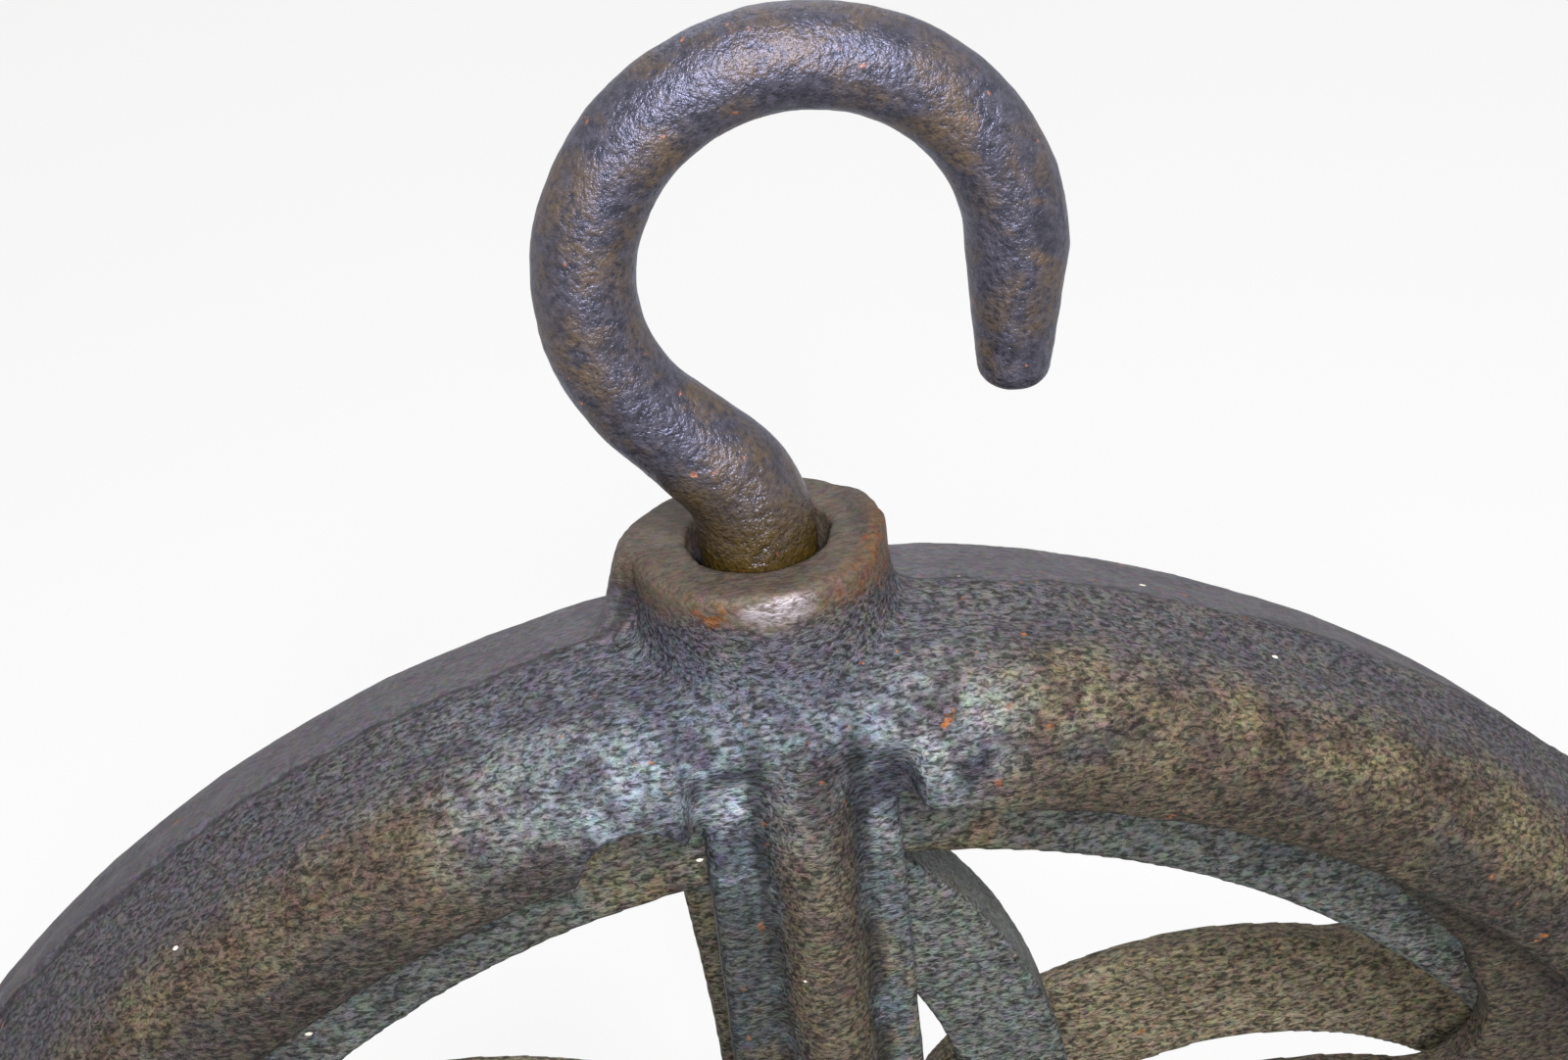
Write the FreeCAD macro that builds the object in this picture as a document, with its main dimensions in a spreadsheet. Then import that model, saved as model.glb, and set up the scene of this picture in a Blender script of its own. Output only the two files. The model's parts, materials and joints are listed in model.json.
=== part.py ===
import FreeCAD, Part
import math
import os
import Sketcher

# Cast-iron hay pulley: a hooded frame with three arms a side, a grooved sheave
# with curved spokes on a plain axle, and a forged swivel hook.
# Millimetres. +Z is up, the axle lies along Y, the origin is the axle's centre.

os.makedirs("parts", exist_ok=True)
doc = FreeCAD.newDocument("HayPulley")
sheet = doc.addObject("Spreadsheet::Sheet", "Sizes")

# Driving sizes, in millimetres and degrees
sizes = {
    # Hood section, from its lip up to its crown
    "lip_radius": 130.4,
    "hood_side": 3.6,
    "shoulder_radius": 14.5,
    "crown_rise": 1.5,
    "hood_half_width": 23.0,
    "hood_wall": 6.5,
    "lip_round": 1.4,
    "hood_half_angle": 88.0,
    # Arms of the frame
    "arm_inner_face": 13.0,
    "arm_thickness": 5.0,
    "centre_arm_width": 25.0,
    "arm_root_gap": 0.5,
    "rib_radius": 5.8,
    "rib_depth": 1.5,
    "rib_shift": 0.8,
    "rib_top": 144.5,
    "cove_start": 131.5,
    "cove_radius": 12.0,
    "cove_half_width": 14.5,
    "arm_slope": 60.0,
    "arm_blend": 22.0,
    "arm_top_x": 57.3,
    "arm_top_z": 73.0,
    "arm_top_radius": 70.7,
    "arm_bend_radius": 34.0,
    "arm_under_x": 62.0,
    "arm_under_z": 54.9,
    "arm_under_radius": 54.5,
    "arm_under_bend": 15.0,
    "arm_under_end": 35.0,
    "arm_foot_angle": 84.5,
    "arm_heel_stop": 4.0,
    "arm_merge_x": 4.0,
    "arm_corner_share": 0.82,
    "window_end_angle": 33.5,
    "window_end_radius": 14.0,
    "window_turn_depth": 5.0,
    "window_turn_angle": 9.0,
    "window_corner_radius": 9.0,
    "window_nose_depth": 8.8,
    "window_nose_angle": 13.0,
    # Rounded notch where the left window runs up beside the centre arm
    "notch_x": 21.6,
    "notch_z": 126.4,
    "notch_radius": 7.4,
    # Swivel boss on the crown
    "boss_rise": 10.5,
    "boss_radius": 15.9,
    "boss_edge": 1.6,
    "flare_rise": 5.0,
    "flare_drop": 8.0,
    "flare_reach": 3.5,
    "boss_hole_radius": 9.3,
    "seat_drop": 2.7,
    # Hubs and axle
    "frame_hub_radius": 19.0,
    "frame_hub_length": 9.5,
    "axle_radius": 6.35,
    "axle_fit": 0.08,
    "hub_bore_clearance": 0.15,
    "axle_head_radius": 11.0,
    "axle_head_height": 5.0,
    "axle_head_gap": 0.3,
    "axle_end": 4.5,
    "axle_end_chamfer": 1.0,
    "axle_washer_radius": 11.5,
    "axle_washer_thickness": 2.5,
    "washer_clearance": 0.4,
    "cotter_wire": 0.8,
    "cotter_wire_play": 0.02,
    "cotter_gap": 0.25,
    "cotter_leg": 24.0,
    "cotter_eye": 2.6,
    "cotter_neck": 1.1,
    "cotter_hole_clearance": 0.3,
    # Sheave
    "rim_radius": 127.3,
    "rim_depth": 11.5,
    "rim_half_width": 10.6,
    "rim_edge_round": 1.0,
    "groove_radius": 8.0,
    "groove_centre_lift": 0.2,
    "hub_radius": 24.0,
    "sheave_end_gap": 0.4,
    "spoke_count": 5,
    "spoke_overrun": 16.8,
    "spoke_width": 14.6,
    "spoke_thickness": 13.0,
    "spoke_centre_angle": 24.8,
    "spoke_bury": 2.7,
    # Hook
    "shank_radius": 7.5,
    "rod_radius": 6.35,
    "tip_radius": 4.3,
    "tip_round": 2.6,
    "hook_centre_x": 9.1,
    "hook_centre_rise": 36.0,
    "hook_radius": 26.3,
    "neck_radius": 16.0,
    "neck_rise": 0.5,
    "tip_turn": 5.0,
    "tip_length": 18.0,
    "hook_head_radius": 10.0,
    "hook_head_height": 3.6,
    "hook_head_round": 2.5,
    "hook_washer_radius": 12.0,
    "hook_washer_thickness": 2.0,
    "hook_washer_gap": 0.3,
}
for row, (name, value) in enumerate(sizes.items(), start=1):
    sheet.set("A%d" % row, name)
    sheet.set("B%d" % row, str(value))
    sheet.setAlias("B%d" % row, name)
doc.recompute()


class Size:
    """A number together with the spreadsheet formula that it comes from."""

    def __init__(self, value, text):
        self.value = value
        self.text = text

    def __add__(self, other):
        other = plain(other)
        return Size(self.value + other.value, "(%s + %s)" % (self.text, other.text))

    def __sub__(self, other):
        other = plain(other)
        return Size(self.value - other.value, "(%s - %s)" % (self.text, other.text))

    def __mul__(self, other):
        other = plain(other)
        return Size(self.value * other.value, "(%s * %s)" % (self.text, other.text))

    def __truediv__(self, other):
        other = plain(other)
        return Size(self.value / other.value, "(%s / %s)" % (self.text, other.text))

    def __neg__(self):
        return Size(-self.value, "(0 - %s)" % self.text)


def plain(number):
    return number if isinstance(number, Size) else Size(float(number), "%g" % number)


def cell(name):
    return Size(float(sheet.get(name)), "Sizes.%s" % name)


def sine(angle):
    return Size(math.sin(math.radians(angle.value)), "sin(%s * 1 deg)" % angle.text)


def cosine(angle):
    return Size(math.cos(math.radians(angle.value)), "cos(%s * 1 deg)" % angle.text)


def arc_cosine(ratio):
    return Size(math.degrees(math.acos(ratio.value)), "(acos(%s) / 1 deg)" % ratio.text)


def root(number):
    return Size(math.sqrt(number.value), "sqrt(%s)" % number.text)


def polar(radius, angle):
    # A point at an angle from straight up, turning towards +X
    return radius * sine(angle), radius * cosine(angle)


# Sketches and features
def bind(thing, path, size):
    thing.setExpression(path, size.text)


def new_body(name):
    body = doc.addObject("PartDesign::Body", name)
    body.Label = name
    return body


def plane_of(body, role):
    return next(item for item in body.Origin.OriginFeatures if item.Role == role)


def new_sketch(body, role, name, lift=None, across=None):
    # Lift moves the sketch off its plane, across moves it sideways in the plane
    sketch = body.newObject("Sketcher::SketchObject", name)
    sketch.AttachmentSupport = [(plane_of(body, role), "")]
    sketch.MapMode = "FlatFace"
    for axis, size in (("x", across), ("z", lift)):
        if size is not None:
            offset = sketch.AttachmentOffset
            setattr(offset.Base, axis, size.value)
            sketch.AttachmentOffset = offset
            bind(sketch, ".AttachmentOffset.Base." + axis, size)
    return sketch


def hold_distance(sketch, kind, edge, end, size):
    # Ties one coordinate of a point to its formula
    if abs(size.value) < 1e-9:
        axis = -2 if kind == "DistanceX" else -1
        sketch.addConstraint(Sketcher.Constraint("PointOnObject", edge, end, axis))
        return
    if size.value > 0:
        rule = Sketcher.Constraint(kind, -1, 1, edge, end, size.value)
    else:
        size = -size
        rule = Sketcher.Constraint(kind, edge, end, -1, 1, size.value)
    bind(sketch, "Constraints[%d]" % sketch.addConstraint(rule), size)


def hold_point(sketch, edge, end, across, up):
    hold_distance(sketch, "DistanceX", edge, end, plain(across))
    hold_distance(sketch, "DistanceY", edge, end, plain(up))


def hold_radius(sketch, edge, size):
    rule = Sketcher.Constraint("Radius", edge, size.value)
    bind(sketch, "Constraints[%d]" % sketch.addConstraint(rule), size)


def vector(across, up):
    return FreeCAD.Vector(plain(across).value, plain(up).value, 0)


def arc_between(start, end, radius):
    # The minor arc from start to end; its centre lies to the left for a
    # positive radius and to the right for a negative one
    chord = end - start
    side = FreeCAD.Vector(-chord.y, chord.x, 0).normalize()
    height = math.sqrt(radius ** 2 - (chord.Length / 2) ** 2)
    centre = (start + end) * 0.5 + side * math.copysign(height, radius)
    circle = Part.Circle(centre, FreeCAD.Vector(0, 0, 1), abs(radius))
    first, last = (start, end) if radius > 0 else (end, start)
    angle_first = math.atan2(first.y - centre.y, first.x - centre.x)
    angle_last = math.atan2(last.y - centre.y, last.x - centre.x)
    return Part.ArcOfCircle(circle, angle_first, angle_last)


def draw_loop(sketch, corners, closed=True):
    # Corners are (across, up) or (across, up, radius of the arc to the next one)
    count = len(corners)
    edges = []
    for index in range(count if closed else count - 1):
        here = corners[index]
        there = corners[(index + 1) % count]
        start = vector(here[0], here[1])
        end = vector(there[0], there[1])
        if len(here) == 2:
            edges.append((sketch.addGeometry(Part.LineSegment(start, end)), 1, 2))
            continue
        radius = here[2]
        edge = sketch.addGeometry(arc_between(start, end, radius.value))
        ends = (1, 2) if radius.value > 0 else (2, 1)
        edges.append((edge, ends[0], ends[1]))
    for index, (edge, start_end, last_end) in enumerate(edges):
        if closed or index + 1 < len(edges):
            following = edges[(index + 1) % len(edges)]
            joint = Sketcher.Constraint("Coincident", edge, last_end, following[0], following[1])
            sketch.addConstraint(joint)
        hold_point(sketch, edge, start_end, corners[index][0], corners[index][1])
        if len(corners[index]) == 3:
            radius = corners[index][2]
            hold_radius(sketch, edge, radius if radius.value > 0 else -radius)
    if not closed:
        edge, start_end, last_end = edges[-1]
        hold_point(sketch, edge, last_end, corners[-1][0], corners[-1][1])


def draw_circle(sketch, across, up, radius):
    circle = Part.Circle(vector(across, up), FreeCAD.Vector(0, 0, 1), radius.value)
    edge = sketch.addGeometry(circle)
    hold_point(sketch, edge, 3, across, up)
    hold_radius(sketch, edge, radius)


def pad(body, sketch, name, length, midplane=False):
    feature = body.newObject("PartDesign::Pad", name)
    feature.Profile = sketch
    feature.Midplane = midplane
    feature.Length = length.value
    bind(feature, "Length", length)
    return feature


def pocket(body, sketch, name, length, midplane=False, reverse=False):
    feature = body.newObject("PartDesign::Pocket", name)
    feature.Profile = sketch
    feature.Midplane = midplane
    feature.Reversed = reverse
    feature.Length = length.value
    bind(feature, "Length", length)
    return feature


def revolve(body, sketch, name, axis, angle=None):
    feature = body.newObject("PartDesign::Revolution", name)
    feature.Profile = sketch
    feature.ReferenceAxis = (sketch, [axis])
    if angle is None:
        feature.Angle = 360
        return feature
    feature.Midplane = True
    feature.Angle = angle.value
    bind(feature, "Angle", angle)
    return feature


# Sizes that several pieces share
shoulder_height = cell("lip_radius") + cell("hood_side")
crown_edge = shoulder_height + cell("shoulder_radius")
crown_radius = crown_edge + cell("crown_rise")
inner_crown = crown_radius - cell("hood_wall")
inner_half_width = cell("hood_half_width") - cell("hood_wall")
shoulder_start = cell("hood_half_width") - cell("shoulder_radius")
inner_shoulder = cell("shoulder_radius") - cell("hood_wall")
arm_outer_face = cell("arm_inner_face") + cell("arm_thickness")
arm_root = shoulder_height - cell("arm_root_gap")
hub_outer_face = cell("arm_inner_face") + cell("frame_hub_length")
seat_height = inner_crown - cell("seat_drop")
boss_height = crown_radius + cell("boss_rise")
rim_inner_radius = cell("rim_radius") - cell("rim_depth")
over_cut = plain(1)


# Frame: hood, arms, hubs and swivel boss in one casting
def arc_radius_over(half_chord, rise):
    return (half_chord * half_chord + rise * rise) / (rise * 2)


def draw_hood_section(sketch):
    outer_crown = arc_radius_over(shoulder_start, cell("crown_rise"))
    half_lip = cell("hood_half_width")
    lip = cell("lip_radius")
    rounding = cell("lip_round")
    shoulder = cell("shoulder_radius")
    draw_loop(sketch, [
        (-shoulder_start, crown_edge, -outer_crown),
        (0, crown_radius, -outer_crown),
        (shoulder_start, crown_edge, -shoulder),
        (half_lip, shoulder_height),
        (half_lip, lip + rounding, -rounding),
        (half_lip - rounding, lip),
        (inner_half_width + rounding, lip, -rounding),
        (inner_half_width, lip + rounding),
        (inner_half_width, shoulder_height, inner_shoulder),
        (shoulder_start, shoulder_height + inner_shoulder, outer_crown),
        (0, inner_crown, outer_crown),
        (-shoulder_start, shoulder_height + inner_shoulder, inner_shoulder),
        (-inner_half_width, shoulder_height),
        (-inner_half_width, lip + rounding, -rounding),
        (-inner_half_width - rounding, lip),
        (-half_lip + rounding, lip, -rounding),
        (-half_lip, lip + rounding),
        (-half_lip, shoulder_height, -shoulder),
    ])


def arm_corners(side):
    # One curved side arm from the hub to its wide root under the hood
    slope = cell("arm_slope")
    blend = cell("arm_blend")
    under_radius = cell("arm_under_radius")
    under_bend = cell("arm_under_bend")
    top_radius = cell("arm_top_radius")
    top_bend = cell("arm_bend_radius")

    # Lower edge: crest circle, tighter bend towards the hub, straight run into it
    under_centre_z = cell("arm_under_z") - under_radius
    under_x = cell("arm_under_x") - under_radius * sine(blend)
    under_z = under_centre_z + under_radius * cosine(blend)
    knee_x = under_x + under_bend * sine(blend) - under_bend * sine(slope)
    knee_z = under_z - under_bend * cosine(blend) + under_bend * cosine(slope)
    heel_reach = knee_z / sine(slope) - cell("arm_heel_stop")
    heel_x = knee_x - heel_reach * cosine(slope)
    heel_z = knee_z - heel_reach * sine(slope)
    fall = cell("arm_under_end")
    fall_x = cell("arm_under_x") + under_radius * sine(fall)
    fall_z = under_centre_z + under_radius * cosine(fall)
    foot_x, foot_z = polar(cell("lip_radius"), cell("arm_foot_angle"))
    outer_foot_x, outer_foot_z = polar(arm_root, cell("arm_foot_angle"))

    # Upper edge, which is the lower side of the window
    top_centre_z = cell("arm_top_z") - top_radius
    top_x = cell("arm_top_x") - top_radius * sine(blend)
    top_z = top_centre_z + top_radius * cosine(blend)
    bend_x = top_x + top_bend * sine(blend) - top_bend * sine(slope)
    bend_z = top_z - top_bend * cosine(blend) + top_bend * cosine(slope)
    merge_x = cell("arm_merge_x")
    merge_z = bend_z - (bend_x - merge_x) * sine(slope) / cosine(slope)
    corner_angle = blend * cell("arm_corner_share")
    corner_x = cell("arm_top_x") + top_radius * sine(corner_angle)
    corner_z = top_centre_z + top_radius * cosine(corner_angle)
    end_x, end_z = polar(cell("lip_radius"), cell("window_end_angle"))
    outer_end_x, outer_end_z = polar(arm_root, cell("window_end_angle"))
    end_angle = cell("window_end_angle")
    turn_radius = cell("lip_radius") - cell("window_turn_depth")
    nose_radius = cell("lip_radius") - cell("window_nose_depth")
    turn_x, turn_z = polar(turn_radius, end_angle + cell("window_turn_angle"))
    nose_x, nose_z = polar(nose_radius, end_angle + cell("window_nose_angle"))

    def at(x, z, radius=None):
        if radius is None:
            return (x, z) if side > 0 else (-x, z)
        return (x, z, radius) if side > 0 else (-x, z, -radius)

    return [
        at(heel_x, heel_z),
        at(knee_x, knee_z, -under_bend),
        at(under_x, under_z, -under_radius),
        at(fall_x, fall_z, -under_radius),
        at(foot_x, foot_z),
        at(outer_foot_x, outer_foot_z, arm_root),
        at(outer_end_x, outer_end_z),
        at(end_x, end_z),
        at(turn_x, turn_z, -cell("window_end_radius")),
        at(nose_x, nose_z, -cell("window_corner_radius")),
        at(corner_x, corner_z, top_radius),
        at(top_x, top_z, top_bend),
        at(bend_x, bend_z),
        at(merge_x, merge_z),
    ]


def build_frame():
    body = new_body("frame")
    face = cell("arm_inner_face")
    thickness = cell("arm_thickness")
    grown = []

    for side, name in ((1, "RightArm"), (-1, "LeftArm")):
        outline = new_sketch(body, "XZ_Plane", name + "Outline", face)
        draw_loop(outline, arm_corners(side))
        grown.append(pad(body, outline, name, thickness))

    half = cell("centre_arm_width") / 2
    outline = new_sketch(body, "XZ_Plane", "CentreArmOutline", face)
    draw_loop(outline, [(-half, 0), (half, 0), (half, arm_root), (-half, arm_root)])
    grown.append(pad(body, outline, "CentreArm", thickness))

    outline = new_sketch(body, "XZ_Plane", "HubOutline", face)
    draw_circle(outline, 0, 0, cell("frame_hub_radius"))
    grown.append(pad(body, outline, "ArmHub", cell("frame_hub_length")))

    back = body.newObject("PartDesign::Mirrored", "BackArms")
    back.Originals = grown
    back.MirrorPlane = (plane_of(body, "XZ_Plane"), [""])
    body.Tip = back

    section = new_sketch(body, "YZ_Plane", "HoodSection")
    draw_hood_section(section)
    revolve(body, section, "Hood", "H_Axis", cell("hood_half_angle") * 2)

    # The boss flares into the crown in a hollow curve and has a flat washer seat below
    section = new_sketch(body, "YZ_Plane", "BossSection")
    edge = cell("boss_edge")
    rim = cell("boss_radius")
    flare = rim + cell("flare_reach")
    flare_height = cell("flare_drop") + cell("flare_rise")
    draw_loop(section, [
        (0, seat_height),
        (flare, seat_height),
        (flare, crown_radius - cell("flare_drop"), -arc_radius_over(flare_height, cell("flare_reach"))),
        (rim, crown_radius + cell("flare_rise")),
        (rim, boss_height - edge, edge),
        (rim - edge, boss_height),
        (0, boss_height),
    ])
    revolve(body, section, "Boss", "V_Axis")

    # The centre arms' faces run up into the hood in a cove, and a rib stands on each
    cove = new_sketch(body, "YZ_Plane", "CoveSection")
    radius = cell("cove_radius")
    clear = cell("hood_half_width") + over_cut
    depth = clear - arm_outer_face
    cove_end = cell("cove_start") + root(depth * (radius * 2 - depth))
    low = cell("lip_radius") - over_cut
    for side in (-1, 1):
        draw_loop(cove, [
            (clear * side, low),
            (arm_outer_face * side, low),
            (arm_outer_face * side, cell("cove_start"), radius * -side),
            (clear * side, cove_end),
        ])
    pocket(body, cove, "ArmCoves", cell("cove_half_width") * 2, midplane=True)

    # Each rib is half of a round bar with a domed top, set a little into the arm
    crest = cell("rib_radius")
    dome_start = cell("rib_top") - crest
    section = new_sketch(
        body, "YZ_Plane", "RibSection", cell("rib_shift"), cell("rib_depth") - arm_outer_face)
    draw_loop(section, [
        (0, 0),
        (0, cell("rib_top"), crest),
        (-crest, dome_start),
        (-crest, 0),
    ])
    rib = revolve(body, section, "CentreRib", "V_Axis", plain(180))
    ribs = body.newObject("PartDesign::Mirrored", "CentreRibs")
    ribs.Originals = [rib]
    ribs.MirrorPlane = (plane_of(body, "XZ_Plane"), [""])
    body.Tip = ribs

    hole = new_sketch(body, "XY_Plane", "BossHoleOutline", boss_height + over_cut)
    draw_circle(hole, 0, 0, cell("boss_hole_radius"))
    pocket(body, hole, "BossHole", boss_height + over_cut * 2 - seat_height)

    bore = new_sketch(body, "XZ_Plane", "AxleBoreOutline")
    draw_circle(bore, 0, 0, cell("axle_radius") + cell("hub_bore_clearance"))
    pocket(body, bore, "AxleBore", (hub_outer_face + over_cut) * 2, midplane=True)

    notch = new_sketch(body, "XZ_Plane", "NotchOutline", cell("arm_inner_face"))
    draw_circle(notch, -cell("notch_x"), cell("notch_z"), cell("notch_radius"))
    pocket(body, notch, "WindowNotch", cell("hood_half_width"), reverse=True)
    return body


# Sheave: grooved rim, hub and curved spokes in one casting
def build_sheave():
    body = new_body("sheave")
    hub_end = cell("arm_inner_face") - cell("sheave_end_gap")

    # Spokes: each is a stretch of a ring between the hub and the rim
    sketch = new_sketch(body, "XZ_Plane", "SpokeOutline")
    half_width = cell("spoke_width") / 2
    bury = cell("spoke_bury")
    inside = cell("hub_radius") - bury / 2
    outside = rim_inner_radius + bury
    # The middle of a spoke lies on a circle that would run on past the rim
    spoke_radius = (outside + cell("spoke_overrun") - cell("hub_radius") + bury) / 2
    distance = spoke_radius + cell("hub_radius") - half_width - bury

    def point_on(ring, reach, side):
        ratio = (distance * distance + ring * ring - reach * reach) / (distance * ring * 2)
        turn = arc_cosine(ratio)
        swing = cell("spoke_centre_angle") * -1 + 180 + turn * side
        x = distance * sine(-cell("spoke_centre_angle")) + ring * sine(swing)
        z = distance * cosine(cell("spoke_centre_angle")) + ring * cosine(swing)
        return x, z

    outer_ring = spoke_radius + half_width
    inner_ring = spoke_radius - half_width
    hub_outer = point_on(outer_ring, inside, -1)
    rim_outer = point_on(outer_ring, outside, -1)
    rim_inner = point_on(inner_ring, outside, -1)
    hub_inner = point_on(inner_ring, inside, -1)
    draw_loop(sketch, [
        (hub_outer[0], hub_outer[1], outer_ring),
        (rim_outer[0], rim_outer[1]),
        (rim_inner[0], rim_inner[1], -inner_ring),
        (hub_inner[0], hub_inner[1]),
    ])
    spoke = pad(body, sketch, "Spoke", cell("spoke_thickness"), midplane=True)
    spokes = body.newObject("PartDesign::PolarPattern", "Spokes")
    spokes.Originals = [spoke]
    spokes.Axis = (plane_of(body, "Y_Axis"), [""])
    spokes.Angle = 360
    spokes.Occurrences = int(cell("spoke_count").value)
    bind(spokes, "Occurrences", cell("spoke_count"))
    body.Tip = spokes

    hub = new_sketch(body, "XZ_Plane", "HubOutline")
    draw_circle(hub, 0, 0, cell("hub_radius"))
    pad(body, hub, "Hub", hub_end * 2, midplane=True)

    # Rim section with a round rope groove
    section = new_sketch(body, "YZ_Plane", "RimSection")
    half = cell("rim_half_width")
    rounding = cell("rim_edge_round")
    top = cell("rim_radius")
    low = rim_inner_radius
    groove = cell("groove_radius")
    lift = cell("groove_centre_lift")
    half_mouth = root(groove * groove - lift * lift)
    draw_loop(section, [
        (-half, low + rounding, rounding),
        (-half + rounding, low),
        (half - rounding, low, rounding),
        (half, low + rounding),
        (half, top - rounding, rounding),
        (half - rounding, top),
        (half_mouth, top, -groove),
        (0, top + lift - groove, -groove),
        (-half_mouth, top),
        (-half + rounding, top, rounding),
        (-half, top - rounding),
    ])
    revolve(body, section, "Rim", "H_Axis")

    bore = new_sketch(body, "XZ_Plane", "BoreOutline")
    draw_circle(bore, 0, 0, cell("axle_radius") + cell("axle_fit"))
    pocket(body, bore, "Bore", (hub_end + over_cut) * 2, midplane=True)
    return body


# Axle pin with a low domed head, its washer and split pin
def cotter_place():
    washer_end = hub_outer_face + cell("axle_head_gap") + cell("axle_washer_thickness")
    return washer_end + cell("cotter_gap") + cell("cotter_wire") * 2


def build_axle_pin():
    body = new_body("axle_pin")
    section = new_sketch(body, "YZ_Plane", "PinSection")
    radius = cell("axle_radius")
    head = cell("axle_head_radius")
    under_head = -(hub_outer_face + cell("axle_head_gap"))
    rise = cell("axle_head_height")
    chamfer = cell("axle_end_chamfer")
    far_end = cotter_place() + cell("axle_end")
    draw_loop(section, [
        (under_head - rise, 0, -arc_radius_over(head, rise)),
        (under_head, head),
        (under_head, radius),
        (far_end - chamfer, radius),
        (far_end, radius - chamfer),
        (far_end, 0),
    ])
    revolve(body, section, "Pin", "H_Axis")
    hole = new_sketch(body, "XY_Plane", "CotterHoleOutline")
    draw_circle(hole, 0, cotter_place(), cell("cotter_wire") * 2 + cell("cotter_hole_clearance"))
    pocket(body, hole, "CotterHole", (radius + over_cut) * 2, midplane=True)
    return body


def ring_body(name, outer, inner, role, start, thickness):
    body = new_body(name)
    outline = new_sketch(body, role, "RingOutline", start)
    draw_circle(outline, 0, 0, outer)
    draw_circle(outline, 0, 0, inner)
    pad(body, outline, "Ring", thickness)
    return body


def build_axle_washer():
    start = -(hub_outer_face + cell("axle_head_gap") + cell("axle_washer_thickness"))
    inner = cell("axle_radius") + cell("washer_clearance")
    thickness = cell("axle_washer_thickness")
    return ring_body("axle_washer", cell("axle_washer_radius"), inner, "XZ_Plane", start, thickness)


def build_cotter_pin():
    body = new_body("cotter_pin")
    wire = cell("cotter_wire")
    eye = cell("cotter_eye")
    leg = cell("cotter_leg") / 2
    neck = cell("cotter_neck")
    reach = eye + neck
    offset = wire + neck
    eye_rise = root(reach * reach - offset * offset)
    eye_height = leg + eye_rise
    turn_out = offset - offset * neck / reach
    turn_height = leg + eye_rise * neck / reach
    path = new_sketch(body, "YZ_Plane", "CotterPath")
    centre = cotter_place()
    draw_loop(path, [
        (centre - wire, -leg),
        (centre - wire, leg, neck),
        (centre - turn_out, turn_height, -eye),
        (centre - eye, eye_height, -eye),
        (centre, eye_height + eye, -eye),
        (centre + eye, eye_height, -eye),
        (centre + turn_out, turn_height, neck),
        (centre + wire, leg),
        (centre + wire, -leg),
    ], closed=False)
    section = new_sketch(body, "XY_Plane", "WireSection", -leg)
    draw_circle(section, 0, centre - wire, wire - cell("cotter_wire_play"))
    pipe = body.newObject("PartDesign::AdditivePipe", "Wire")
    pipe.Profile = section
    pipe.Spine = (path, ["Edge%d" % (index + 1) for index in range(8)])
    return body


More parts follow.
